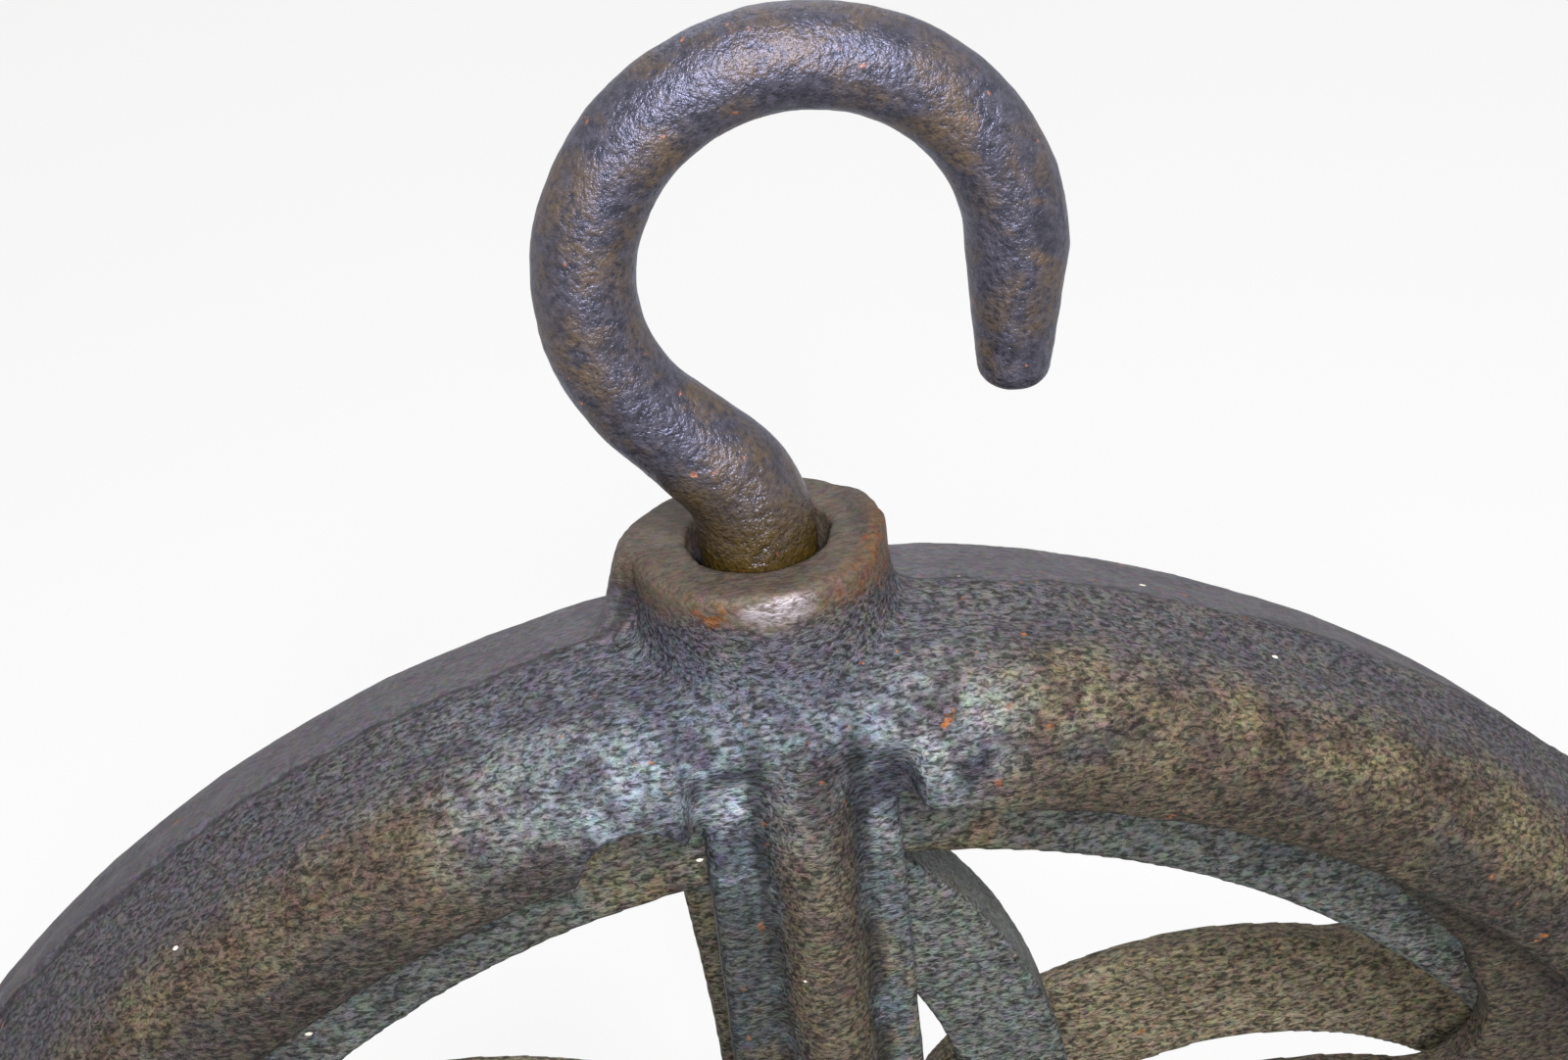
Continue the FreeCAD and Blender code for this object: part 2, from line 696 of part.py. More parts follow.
# Forged hook: a round bar that thins towards its tip, with an upset shank
def build_hook():
    centre_height = boss_height + cell("hook_centre_rise")
    centre = FreeCAD.Vector(cell("hook_centre_x").value, 0, centre_height.value)
    bow = cell("hook_radius").value
    neck = cell("neck_radius").value
    start_height = (boss_height + cell("neck_rise")).value
    washer_top = seat_height.value - cell("hook_washer_gap").value
    head_top = washer_top - cell("hook_washer_thickness").value
    head_low = head_top - cell("hook_head_height").value

    # The neck leans over until its straight run meets the bow tangentially
    drop = centre.z - start_height
    reach = neck + centre.x
    lean = math.asin((neck + bow) / math.hypot(drop, reach)) - math.atan2(reach, drop)
    neck_end = FreeCAD.Vector(neck * (math.cos(lean) - 1), 0, start_height + neck * math.sin(lean))
    neck_mid = FreeCAD.Vector(
        neck * (math.cos(lean / 2) - 1), 0, start_height + neck * math.sin(lean / 2))

    def on_bow(angle):
        return centre + FreeCAD.Vector(bow * math.cos(angle), 0, bow * math.sin(angle))

    bow_start = math.pi + lean
    bow_end = -math.radians(cell("tip_turn").value)
    tip_way = FreeCAD.Vector(math.sin(bow_end), 0, -math.cos(bow_end))
    tip = on_bow(bow_end) + tip_way * cell("tip_length").value
    foot = FreeCAD.Vector(0, 0, head_top)
    neck_start = FreeCAD.Vector(0, 0, start_height)
    half_way = (bow_start + bow_end) / 2
    runs = [
        Part.makeLine(foot, neck_start),
        Part.Arc(neck_start, neck_mid, neck_end).toShape(),
        Part.makeLine(neck_end, on_bow(bow_start)),
        Part.Arc(on_bow(bow_start), on_bow(half_way), on_bow(bow_end)).toShape(),
        Part.makeLine(on_bow(bow_end), tip),
    ]
    up = FreeCAD.Vector(0, 0, 1)
    neck_way = FreeCAD.Vector(-math.sin(lean), 0, math.cos(lean))

    def swept(path, rings):
        pipe = Part.BRepOffsetAPI.MakePipeShell(Part.Wire(path))
        for place, way, radius in rings:
            pipe.add(Part.Wire([Part.Circle(place, way, radius).toShape()]))
        pipe.setFrenetMode(True)
        pipe.build()
        pipe.makeSolid()
        return pipe.shape()

    shank = cell("shank_radius").value
    rod = cell("rod_radius").value
    tip_radius = cell("tip_radius").value
    straight = Part.makeCylinder(shank, start_height - foot.z, foot, up)
    throat = swept(runs[1:3], [(neck_start, up, shank), (on_bow(bow_start), neck_way, rod)])
    arc = swept([runs[3]], [(on_bow(bow_start), neck_way, rod)])
    point = Part.makeCone(rod, tip_radius, cell("tip_length").value, on_bow(bow_end), tip_way)
    tip_edges = [edge for edge in point.Edges if abs(edge.BoundBox.Center.distanceToPoint(tip)) < 1e-3]
    point = point.makeFillet(cell("tip_round").value, tip_edges)

    # The shank's end is hammered out into a low head that carries the washer
    head = cell("hook_head_radius").value
    rise = cell("hook_head_height").value
    dome = Part.makeCylinder(head, rise, FreeCAD.Vector(0, 0, head_low), up)
    low_edges = [edge for edge in dome.Edges if abs(edge.BoundBox.ZMax - head_low) < 1e-6]
    dome = dome.makeFillet(cell("hook_head_round").value, low_edges)
    solid = straight.fuse([throat, arc, point, dome]).removeSplitter()
    feature = doc.addObject("Part::Feature", "hook")
    feature.Label = "hook"
    feature.Shape = solid
    feature.Placement = FreeCAD.Placement()
    return feature


def build_hook_washer():
    start = seat_height - cell("hook_washer_gap") - cell("hook_washer_thickness")
    inner = cell("shank_radius") + cell("washer_clearance")
    outer = cell("hook_washer_radius")
    return ring_body("hook_washer", outer, inner, "XY_Plane", start, cell("hook_washer_thickness"))


pieces = [
    build_frame(),
    build_sheave(),
    build_axle_pin(),
    build_axle_washer(),
    build_cotter_pin(),
    build_hook(),
    build_hook_washer(),
]
doc.recompute()

# Every object and every piece is checked before anything is written
for item in doc.Objects:
    if "Invalid" in item.State or "Error" in item.State:
        raise RuntimeError("%s did not rebuild: %s" % (item.Name, item.State))
for piece in pieces:
    if piece.Shape.isNull() or not piece.Shape.isValid() or len(piece.Shape.Solids) != 1:
        raise RuntimeError("%s is not one valid solid" % piece.Label)
for piece in pieces:
    piece.Shape.exportStep("parts/%s.step" % piece.Label)
    print("%s: %.0f mm3, %d faces" % (piece.Label, piece.Shape.Volume, len(piece.Shape.Faces)))
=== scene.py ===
import json
from math import cos, radians, sin

import bpy
import numpy as np
from mathutils import Matrix, Vector

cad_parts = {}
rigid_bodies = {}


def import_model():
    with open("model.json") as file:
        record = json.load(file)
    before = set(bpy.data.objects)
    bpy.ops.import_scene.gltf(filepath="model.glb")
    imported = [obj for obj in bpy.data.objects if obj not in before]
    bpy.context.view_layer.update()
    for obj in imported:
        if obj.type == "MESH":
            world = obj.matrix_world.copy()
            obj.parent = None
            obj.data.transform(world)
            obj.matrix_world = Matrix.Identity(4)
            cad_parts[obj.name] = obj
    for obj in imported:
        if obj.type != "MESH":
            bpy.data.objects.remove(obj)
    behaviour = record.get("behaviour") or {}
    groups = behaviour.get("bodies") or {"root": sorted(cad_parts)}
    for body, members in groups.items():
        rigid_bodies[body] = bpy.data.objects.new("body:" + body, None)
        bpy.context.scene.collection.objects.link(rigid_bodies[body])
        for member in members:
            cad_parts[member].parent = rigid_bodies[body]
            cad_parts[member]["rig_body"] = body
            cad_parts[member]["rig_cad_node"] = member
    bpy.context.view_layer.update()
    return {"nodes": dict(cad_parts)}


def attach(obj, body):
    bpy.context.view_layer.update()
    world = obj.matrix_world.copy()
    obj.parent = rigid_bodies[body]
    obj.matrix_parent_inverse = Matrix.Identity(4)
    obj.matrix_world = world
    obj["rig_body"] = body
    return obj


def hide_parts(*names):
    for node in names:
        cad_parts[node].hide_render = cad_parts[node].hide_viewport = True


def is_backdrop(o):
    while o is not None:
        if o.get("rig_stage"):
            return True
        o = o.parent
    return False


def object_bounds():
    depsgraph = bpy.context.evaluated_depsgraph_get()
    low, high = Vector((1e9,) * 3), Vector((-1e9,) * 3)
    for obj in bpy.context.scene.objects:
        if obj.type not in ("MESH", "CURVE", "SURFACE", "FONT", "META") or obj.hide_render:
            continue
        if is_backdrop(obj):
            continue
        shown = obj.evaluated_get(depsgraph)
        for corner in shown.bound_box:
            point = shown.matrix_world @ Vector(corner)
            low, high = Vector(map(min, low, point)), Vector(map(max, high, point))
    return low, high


# Old cast-iron hay pulley with a forged swivel hook, hung from its hook
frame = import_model()
nodes = frame["nodes"]
print("frame loaded:", ", ".join(sorted(nodes)))

millimetre = 0.001


# Mesh helpers

def makeActive(piece):
    bpy.ops.object.select_all(action="DESELECT")
    piece.select_set(True)
    bpy.context.view_layer.objects.active = piece


def copyOfNode(nodeName, pieceName):
    makeActive(nodes[nodeName])
    bpy.ops.object.duplicate()
    piece = bpy.context.active_object
    piece.name = piece.data.name = pieceName
    piece.parent = None
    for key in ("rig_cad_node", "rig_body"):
        del piece[key]
    bpy.ops.object.mode_set(mode="EDIT")
    bpy.ops.mesh.select_all(action="SELECT")
    bpy.ops.mesh.remove_doubles(threshold=0.01 * millimetre)
    bpy.ops.object.mode_set(mode="OBJECT")
    return piece


def applied(piece, kind, **settings):
    modifier = piece.modifiers.new(kind.lower(), kind)
    for name, value in settings.items():
        setattr(modifier, name, value)
    makeActive(piece)
    bpy.ops.object.modifier_apply(modifier=modifier.name)


def smoothed(piece, rounds, group=""):
    applied(piece, "SMOOTH", factor=0.5, iterations=rounds, vertex_group=group)


def remeshed(nodeName, pieceName, look):
    piece = copyOfNode(nodeName, pieceName)
    applied(piece, "REMESH", mode="VOXEL", voxel_size=look["voxel"] * millimetre)
    smoothed(piece, look["smoothing"])
    return piece


def meshFields(piece):
    # every corner's place and its distance from the axle and from the hook's shank, in mm
    flat = np.empty(len(piece.data.vertices) * 3)
    piece.data.vertices.foreach_get("co", flat)
    across, depth, height = (flat.reshape(-1, 3) / millimetre).T
    return {"across": across, "depth": depth, "height": height, "fromMiddle": np.abs(depth),
            "fromAxle": np.hypot(across, height), "fromShank": np.hypot(across, depth)}


def weightsOf(field, fades):
    # each fade is nothing at its first value and full at its second
    weights = 1
    for name, start, full in fades:
        share = np.clip((field[name] - start) / (full - start), 0, 1)
        weights = weights * (share * share * (3 - 2 * share))
    return weights


def weightGroup(piece, name, weights, levels=24):
    group = piece.vertex_groups.new(name=name)
    level = np.rint(np.clip(weights, 0, 1) * levels).astype(int)
    for step in range(1, levels + 1):
        members = np.nonzero(level == step)[0].tolist()
        if members:
            group.add(members, step / levels, "REPLACE")
    return name


def pushed(piece, name, direction, distance, weights):
    applied(piece, "DISPLACE", direction=direction, strength=distance * millimetre, mid_level=0,
            vertex_group=weightGroup(piece, name, weights))


def roughened(piece, relief):
    for size, height in relief:
        texture = bpy.data.textures.new(f"{piece.name}{size}", "CLOUDS")
        texture.noise_scale = size * millimetre
        texture.noise_depth = 2
        texture.noise_basis = "IMPROVED_PERLIN"
        applied(piece, "DISPLACE", texture=texture, strength=height * millimetre, mid_level=0.5,
                texture_coords="LOCAL")


def triangleCount(piece):
    piece.data.calc_loop_triangles()
    return len(piece.data.loop_triangles)


def giveMaterial(piece, material):
    piece.data.materials.clear()
    piece.data.materials.append(material)


def finished(piece, look, material):
    roughened(piece, look["relief"])
    count = triangleCount(piece)
    if count > look["mostTriangles"]:
        applied(piece, "DECIMATE", ratio=look["mostTriangles"] / count)
    makeActive(piece)
    bpy.ops.object.shade_smooth()
    giveMaterial(piece, material)


# Camera, fitted to the circles of hood, sheave and boss in the photograph

cameraLook = {
    "place": (-28.1, -333.4, 353.3),       # mm, in the pulley's own frame
    "heading": -5.39,                      # degrees round the upright, 0 looks along +Y
    "dip": 29.95,                          # degrees below level
    "roll": -6.43,                         # degrees, the camera was held a little crooked
    "sensor": 36,                          # mm
    "lens": 70.68,                         # mm
    "nearest": 10,                         # mm, anything nearer isn't drawn
}


def addCamera(look):
    heading, dip, roll = (radians(look[key]) for key in ("heading", "dip", "roll"))
    right = Vector((cos(heading), sin(heading), 0))
    forward = Vector((-sin(heading) * cos(dip), cos(heading) * cos(dip), -sin(dip)))
    up = right.cross(forward)
    rolledRight = right * cos(roll) + up * sin(roll)
    rolledUp = up * cos(roll) - right * sin(roll)
    bpy.ops.object.camera_add(location=Vector(look["place"]) * millimetre)
    camera = bpy.context.active_object
    camera.rotation_euler = Matrix((rolledRight, rolledUp, -forward)).transposed().to_euler()
    camera.data.sensor_width = look["sensor"]
    camera.data.lens = look["lens"]
    camera.data.clip_start = look["nearest"] * millimetre
    bpy.context.scene.camera = camera


# Material helpers. A field is a value that varies over the piece, such as a height, a distance in
# mm or a noise. A zone is a list of fades on fields, and its mask is their product.

def hexColour(text):
    channels = [int(text[start:start + 2], 16) / 255 for start in (1, 3, 5)]
    return (*[c / 12.92 if c <= 0.04045 else ((c + 0.055) / 1.055) ** 2.4 for c in channels], 1)


def feed(tree, node, inputs):
    # inputs go by name or in order; a node means its first output, and a string is a hex colour
    pairs = inputs.items() if isinstance(inputs, dict) else enumerate(inputs)
    for socket, value in pairs:
        if isinstance(value, bpy.types.Node):
            value = value.outputs[0]
        if isinstance(value, bpy.types.NodeSocket):
            tree.links.new(value, node.inputs[socket])
        else:
            node.inputs[socket].default_value = hexColour(value) if isinstance(value, str) else value


def addNode(tree, kind, inputs=(), **settings):
    made = tree.nodes.new("ShaderNode" + kind)
    for name, value in settings.items():
        setattr(made, name, value)
    feed(tree, made, inputs)
    return made


def startMaterial(name):
    # with the material comes the place on the piece, in mm
    material = bpy.data.materials.new(name)
    material.use_nodes = True
    tree = material.node_tree
    metres = addNode(tree, "TexCoord").outputs["Object"]
    place = addNode(tree, "VectorMath", {0: metres, "Scale": 1 / millimetre}, operation="SCALE")
    return material, tree, tree.nodes["Principled BSDF"], place


def product(tree, *shares):
    result = shares[0]
    for share in shares[1:]:
        result = addNode(tree, "Math", (result, share), operation="MULTIPLY")
    return result


def coat(tree, skin, colour, *shares, blend="MIX"):
    # lays a colour over the skin, as strongly as the shares multiply to
    return addNode(tree, "Mix", {0: product(tree, *shares), 6: skin, 7: colour},
                   data_type="RGBA", blend_type=blend).outputs[2]


def fade(tree, value, start, full, *centre, out=(0, 1)):
    # goes from out's first number to its second, by the distance from a centre where there is one
    if centre:
        offset = addNode(tree, "Math", (value, *centre), operation="SUBTRACT")
        value = addNode(tree, "Math", (offset,), operation="ABSOLUTE")
    return addNode(tree, "MapRange", (value, start, full, *out), interpolation_type="SMOOTHSTEP")


def distanceFrom(tree, place, centre, shape=(1, 1, 1)):
    # from a point, or from an axis that shape leaves out; a shape below 1 stretches the ball
    offset = addNode(tree, "VectorMath", (place, centre), operation="SUBTRACT")
    kept = addNode(tree, "VectorMath", (offset, shape), operation="MULTIPLY")
    return addNode(tree, "VectorMath", (kept,), operation="LENGTH").outputs["Value"]


def noiseFields(tree, place, noises):
    return {name: addNode(tree, "TexNoise", {
        "Vector": place, "Scale": 1 / size, "Detail": detail,
        "Roughness": roughness, "Distortion": distortion,
    }) for name, (size, detail, roughness, distortion) in noises.items()}


def fieldsOf(tree, place, look):
    axes = addNode(tree, "SeparateXYZ", (place,)).outputs
    field = {"across": axes[0], "depth": axes[1], "height": axes[2]}
    field.update(noiseFields(tree, place, look["noises"]))
    for name, (centre, shape) in look["distances"].items():
        field[name] = distanceFrom(tree, place, centre, shape)
    for name, (plain, noise, reach) in look["frayed"].items():
        field[name] = addNode(tree, "Math", (field[noise], reach, field[plain]), operation="MULTIPLY_ADD")
    return field


def masksOf(tree, field, zones):
    return {zone: product(tree, *[fade(tree, field[name], *limits) for name, *limits in fades])
            for zone, fades in zones.items()}


def addBumps(tree, shader, bumps):
    # each bump lies on the one before it
    below = {}
    for field, height, strength in bumps:
        bump = addNode(tree, "Bump", {
            "Height": field, "Distance": height * millimetre, "Strength": strength, **below})
        below = {"Normal": bump}
    feed(tree, shader, below)


# Cast iron, as the frame and the sheave share it

castLook = {
    "olive": "#6e644f",            # thin brown oxide over old skin
    "navy": "#32333d",             # damp dirt
    "rust": "#854f26",
    "grit": "#e6e0cf",
    "grain": {"grain": (0.6, 3, 0.65, 0.5)},   # a noise, coarser than moulding sand so that it shows
    "grainRun": 2.1,               # times longer across than up
    "grainHeight": 0.7,            # mm
    "lumpHeight": 0.4,             # mm
    "grainRange": (0.34, 0.66),    # the noise in the grain's hollows and on its tops
    "grainTones": (0.12, 0.9),
    "calmTone": 0.48,              # where the skin is smooth
    "calming": 0.6,                # share of the grain that smooth places lose
    "tintScale": 0.7,              # per mm
    "tintShare": 0.4,
    "lumpRange": (0.3, 0.7),       # the noise in the lumps' hollows and on their tops
    "roughness": (0.62, 0.48),
    "specular": 0.15,              # dull, because the skin is oxide and dust
    "gritSize": 6.5,               # mm between chips
    "gritRun": 2,                  # times longer across than up
}

castNoises = {
    # size in mm, detail, roughness, distortion
    "lumps": (5, 2, 0.5, 0),
    "rustClusters": (26, 2, 0.5, 0),
    "rustSpots": (3.2, 3, 0.6, 0),
}

castZones = {
    "oldRust": [("rustClusters", 0.5, 0.62), ("rustSpots", 0.66, 0.74)],
    "gritChips": [("chipDistance", 0.05, 0.03), ("chipTone", 0.72, 0.74)],
}


def castFields(tree, place, look):
    field = fieldsOf(tree, place, look)
    run = addNode(tree, "Mapping", {"Vector": place, "Scale": (1 / look["grainRun"], 1, 1)})
    field.update(noiseFields(tree, run, look["grain"]))
    run = addNode(tree, "Mapping", {"Vector": place, "Scale": (1 / look["gritRun"], 1, 1)})
    cells = addNode(tree, "TexVoronoi", {"Vector": run, "Scale": 1 / look["gritSize"]})
    field["chipDistance"] = cells.outputs["Distance"]
    field["chipTone"] = addNode(tree, "SeparateColor", (cells.outputs["Color"],)).outputs[0]
    return field


def castRelief(tree, shader, look, field, smooth):
    # sand grain over low lumps, weaker where the skin is smooth
    grainShare = addNode(tree, "Math", (smooth, -look["calming"], 1), operation="MULTIPLY_ADD")
    addBumps(tree, shader, [(field["lumps"], look["lumpHeight"], 1),
                            (field["grain"], look["grainHeight"], grainShare)])
    roughness = fade(tree, field["lumps"], *look["lumpRange"], out=look["roughness"])
    feed(tree, shader, {"Roughness": roughness, "Specular IOR Level": look["specular"]})


def grained(tree, place, look, field, skin, smooth):
    # dark hollows and pale tops, with a little tint from grain to grain
    tone = fade(tree, field["grain"], *look["grainRange"], out=look["grainTones"])
    tone = addNode(tree, "Mix", {0: product(tree, smooth, look["calming"]), 2: tone, 3: look["calmTone"]})
    skin = coat(tree, skin, tone, 1, blend="MULTIPLY")
    tint = addNode(tree, "TexNoise", {"Vector": place, "Scale": look["tintScale"], "Detail": 3})
    return coat(tree, skin, tint.outputs["Color"], look["tintShare"], blend="SOFT_LIGHT")


def rustAndGrit(tree, look, mask, skin):
    skin = coat(tree, skin, look["rust"], mask["oldRust"], look["oldRustShare"])
    return coat(tree, skin, look["grit"], mask["gritChips"])


# Cast iron of the frame

behindParting = [("partingDepth", -0.3, 1.2)]
onBoss = [("bossHeight", 157, 161), ("fromShank", 26, 22)]
onFlatFace = [("depth", 15, 17, 0), ("height", 150, 138)]

frameIron = {
    **castLook,
    "umber": "#4b4036",
    "lipBrown": "#3a332b",
    "slate": "#7a858d",            # blue-grey casting skin round the boss
    "dusk": "#4d4d58",             # the same skin where it is darker, high on the shoulder
    "armGrey": "#565d60",
    "violet": "#615d64",           # smooth skin of the crown and the back mould box
    # near black for painted shade: the parting line's shadow, the creases beside the rib and the flat left
    # of the rib, with dirt in the creases too
    "soot": "#1f1e20",
    "bossBrown": "#63564a",
    # painted shade, dark on the boss's top
    "bossCrest": "#282327",
    "pale": "#a3aab2",             # painted highlight, pale on the slate skin, left and right of the rib
    "inside": "#857b66",           # painted light: the back arms, seen through the windows, lighter where they lie in the hood's shade
    "rustEdge": "#5f4a33",
    "brightIron": "#857e83",       # iron worn bright on the boss's front edge
    "oldRustShare": 0.8,
    "noises": {
        # size in mm, detail, roughness, distortion
        **castNoises,
        "patches": (18, 3, 0.6, 0.4),
        "blotches": (7, 3, 0.62, 0),
        "flakes": (2.2, 4, 0.7, 0),
        "ragging": (5, 3, 0.5, 0),
    },
    "distances": {
        # a centre in mm, and how much each axis counts
        "fromAxle": ((0, 0, 0), (1, 0, 1)),
        "fromShank": ((0, 0, 0), (1, 1, 0)),
        "fromRib": ((0.8, 0, 0), (1, 0, 0)),
        "fromSlate": ((-8, -20, 135), (1, 1, 1)),
        "fromWorn": ((-0.6, -16.2, 158.6), (0.22, 0.9, 0.7)),
    },
    "frayed": {
        # a field, the noise that frays its zone's edge, and by how many mm
        "bossHeight": ("height", "patches", 7),
        "duskHeight": ("height", "patches", 22),
        "shadeAcross": ("across", "patches", 40),
        "shoulderDepth": ("depth", "patches", 9),
        "slateDistance": ("fromSlate", "patches", -46),
        "partingDepth": ("depth", "ragging", 2.4),
        "wornDistance": ("fromWorn", "blotches", 2.4),
    },
    "zones": {
        # fields with their values at nothing and at full, and a centre where the zone is a band
        **castZones,
        "boss": onBoss,
        "bossRim": [*onBoss, ("fromShank", 3.4, 1.4, 16.2)],
        "bossFront": [("across", 5, 12), ("depth", 6, 0)],
        # where the boss's top gets painted shade
        "bossCrest": [("height", 159.5, 163)],
        "rustEdge": [("blotches", 0.4, 0.6)],
        "flakes": [("flakes", 0.5, 0.62)],
        "worn": [("wornDistance", 2.9, 1.7)],
        "crown": [*behindParting, ("fromAxle", 138, 145)],
        "farOut": [("across", 55, 110, 0)],
        "olive": [("blotches", 0.36, 0.62)],
        "leftShade": [("shadeAcross", 0, -45)],
        "shoulder": [("shoulderDepth", -15, -5), ("fromAxle", 136, 143)],
        "slate": [("slateDistance", 28, -12)],
        "duskHigh": [("duskHeight", 148, 162)],
        "duskBlotches": [("blotches", 0.58, 0.4)],
        # blotches of the painted highlight on the slate skin
        "bloom": [("blotches", 0.36, 0.6)],
        "arms": [("height", 128, 112)],
        "armFlats": [("height", 128, 112), ("across", 16, 13, 0), ("blotches", 0.66, 0.4)],
        # painted shadow below the step at the parting line
        "partingLine": [("partingDepth", 0.6, 0.15, 0.9), ("fromAxle", 143, 147)],
        "backArms": [("depth", 8, 13), ("fromAxle", 134, 128)],
        "lip": [("fromAxle", 13, 5, 132), ("patches", 0.44, 0.6)],
        "lipFace": [("fromAxle", 145, 134), ("depth", -10, -15), ("across", 22, 34, 0)],
        # the creases beside the rib, where painted shade and dirt lie
        "grooves": [*onFlatFace, ("fromRib", 2.2, 0.6, 6.3), ("blotches", 0.3, 0.55)],
        "rib": [*onFlatFace, ("fromRib", 6, 4), ("height", 150, 120)],
        # the flat left of the rib, where painted shade lies
        "leftFlat": [*onFlatFace, ("across", 6, 3, -11), ("height", 130, 115)],
    },
    "brownCoats": [
        # colour, zone, strength
        ("umber", "leftShade", 0.5),
        ("dusk", "shoulder", 0.7),
    ],
    # colour, zone, strength: dirt, with painted shade and painted light among them
    "dirtCoats": [
        # painted shadow along the parting line
        ("soot", "partingLine", 0.6),
        # painted light on the back arms
        ("inside", "backArms", 0.6),
        ("navy", "lip", 0.75),
        # darker towards the hood's lower edge, on its front and sides
        ("lipBrown", "lipFace", 0.75),
        # painted shade and dirt in the creases beside the rib
        ("soot", "grooves", 0.8),
        ("ribBrown", "rib", 0.9),
        # painted shade on the flat left of the rib
        ("soot", "leftFlat", 0.55),
        ("bossFace", "boss", 0.92),
    ],
    "ribUmber": 0.6,               # share of umber in the brown along the ribs
    "crownThinning": 0.45,         # share of the violet that is gone far out on the crown
    # centres of the painted highlight on the slate skin, in mm
    "palePlaces": ((-14, -20, 133), (20, -19, 139)),
    "paleShape": (0.8, 1, 1.3),
    "paleReach": (15, 4),          # mm, where the painted highlight ends and where it is full
    "paleShare": 0.6,
    "rustPlaces": ((-11.7, -14.2, 161), (-9.2, -15.7, 158.6), (-6.3, -15.3, 163.4), (7.2, -18, 158.4)),
    "rustReach": (6, 4.4),         # mm
    "rustFray": 4,                 # mm
    "rustShare": 0.75,
    "rustEdgeShare": 0.8,
    "rimFlakes": (0.12, 0.9),      # rust on the boss's rim between flakes and in them
    "wornRange": (0.36, 0.6),      # the noise in the grain's hollows and on its tops
    "wornGrain": (0.12, 1),        # how bright those are worn
    "metallic": (0.15, 0.85),      # old skin, and iron worn bright
}


def frameSkin(tree, place, look, field, mask):
    # brown oxide, slate skin round the boss with a painted highlight, grey arms, a violet crown, and over
    # all dirt, painted shade and painted light
    brown = coat(tree, look["umber"], look["olive"], mask["olive"])
    for colour, zone, strength in look["brownCoats"]:
        brown = coat(tree, brown, look[colour], mask[zone], strength)

    dusky = addNode(tree, "Math", (mask["duskHigh"], mask["duskBlotches"]), operation="MAXIMUM")
    slate = coat(tree, look["slate"], look["dusk"], dusky)
    # a painted highlight, pale in blotches on the slate near two places
    for spot in look["palePlaces"]:
        near = fade(tree, distanceFrom(tree, place, spot, look["paleShape"]), *look["paleReach"])
        slate = coat(tree, slate, look["pale"], near, mask["bloom"], look["paleShare"])
    slate = coat(tree, slate, look["armGrey"], mask["arms"])

    skin = coat(tree, brown, slate, mask["slate"])
    skin = coat(tree, skin, look["armGrey"], mask["armFlats"])
    thinned = addNode(tree, "Math", (mask["farOut"], -look["crownThinning"], 1), operation="MULTIPLY_ADD")
    skin = coat(tree, skin, look["violet"], mask["crown"], thinned)
    colours = {
        **look,
        "ribBrown": coat(tree, brown, look["umber"], look["ribUmber"]),
        # the boss's colour, with painted shade on its top
        "bossFace": coat(tree, look["bossBrown"], look["bossCrest"], mask["bossCrest"]),
    }
    for colour, zone, strength in look["dirtCoats"]:
        skin = coat(tree, skin, colours[colour], mask[zone], strength)
    return skin


def bossRust(tree, place, look, field, mask, skin):
    # rust round the boss's front and right edge, and at a few spots
    skin = coat(tree, skin, look["rustEdge"], mask["bossRim"], mask["bossFront"], mask["rustEdge"],
                look["rustEdgeShare"])
    rimFlakes = fade(tree, mask["flakes"], 0, 1, out=look["rimFlakes"])
    rusty = product(tree, mask["bossRim"], mask["bossFront"], rimFlakes)
    for spot in look["rustPlaces"]:
        reach = addNode(tree, "Math", (field["blotches"], look["rustFray"], distanceFrom(tree, place, spot)),
                        operation="MULTIPLY_ADD")
        spotRust = product(tree, fade(tree, reach, *look["rustReach"]), mask["flakes"])
        rusty = addNode(tree, "Math", (rusty, spotRust), operation="MAXIMUM")
    return coat(tree, skin, look["rust"], rusty, look["rustShare"])


def castIronFrame(look):
    # sand-cast grey iron: matt grain with a faint sheen where hands and rope have rubbed
    material, tree, shader, place = startMaterial("sandCastIronFrame")
    field = castFields(tree, place, look)
    mask = masksOf(tree, field, look["zones"])
    skin = frameSkin(tree, place, look, field, mask)
    skin = bossRust(tree, place, look, field, mask, skin)

    # the crown and the boss's top came out of the mould smoother
    smooth = addNode(tree, "Math", (mask["crown"], mask["boss"]), operation="MAXIMUM")
    castRelief(tree, shader, look, field, smooth)
    skin = grained(tree, place, look, field, skin, smooth)
    skin = rustAndGrit(tree, look, mask, skin)
    wornGrain = fade(tree, field["grain"], *look["wornRange"], out=look["wornGrain"])
    worn = product(tree, mask["worn"], wornGrain)
    feed(tree, shader, {"Base Color": coat(tree, skin, look["brightIron"], worn),
                        "Metallic": fade(tree, worn, 0, 1, out=look["metallic"])})
    return material


# Cast iron of the sheave

sheaveIron = {
    **castLook,
    "sheaveGrey": "#616461",
    "oldRustShare": 0.5,
    "metallic": 0.15,
    "noises": {
        **castNoises,
        "patches": (20, 3, 0.6, 0.4),
        "blotches": (6, 3, 0.6, 0),
    },
    "distances": {},
    "frayed": {},
    "zones": {
        **castZones,
        "olive": [("patches", 0.5, 0.74)],
        "navy": [("blotches", 0.55, 0.7)],
    },
    "navyShare": 0.5,
}


def castIronSheave(look):
    # the same iron, cleaner and greyer, with brown only in patches
    material, tree, shader, place = startMaterial("sandCastIronSheave")
    field = castFields(tree, place, look)
    mask = masksOf(tree, field, look["zones"])
    skin = coat(tree, look["sheaveGrey"], look["olive"], mask["olive"])
    skin = coat(tree, skin, look["navy"], mask["navy"], look["navyShare"])
    castRelief(tree, shader, look, field, 0)
    skin = grained(tree, place, look, field, skin, 0)
    feed(tree, shader, {"Base Color": rustAndGrit(tree, look, mask, skin), "Metallic": look["metallic"]})
    return material


# Forged steel of the hook, the axle and the washers

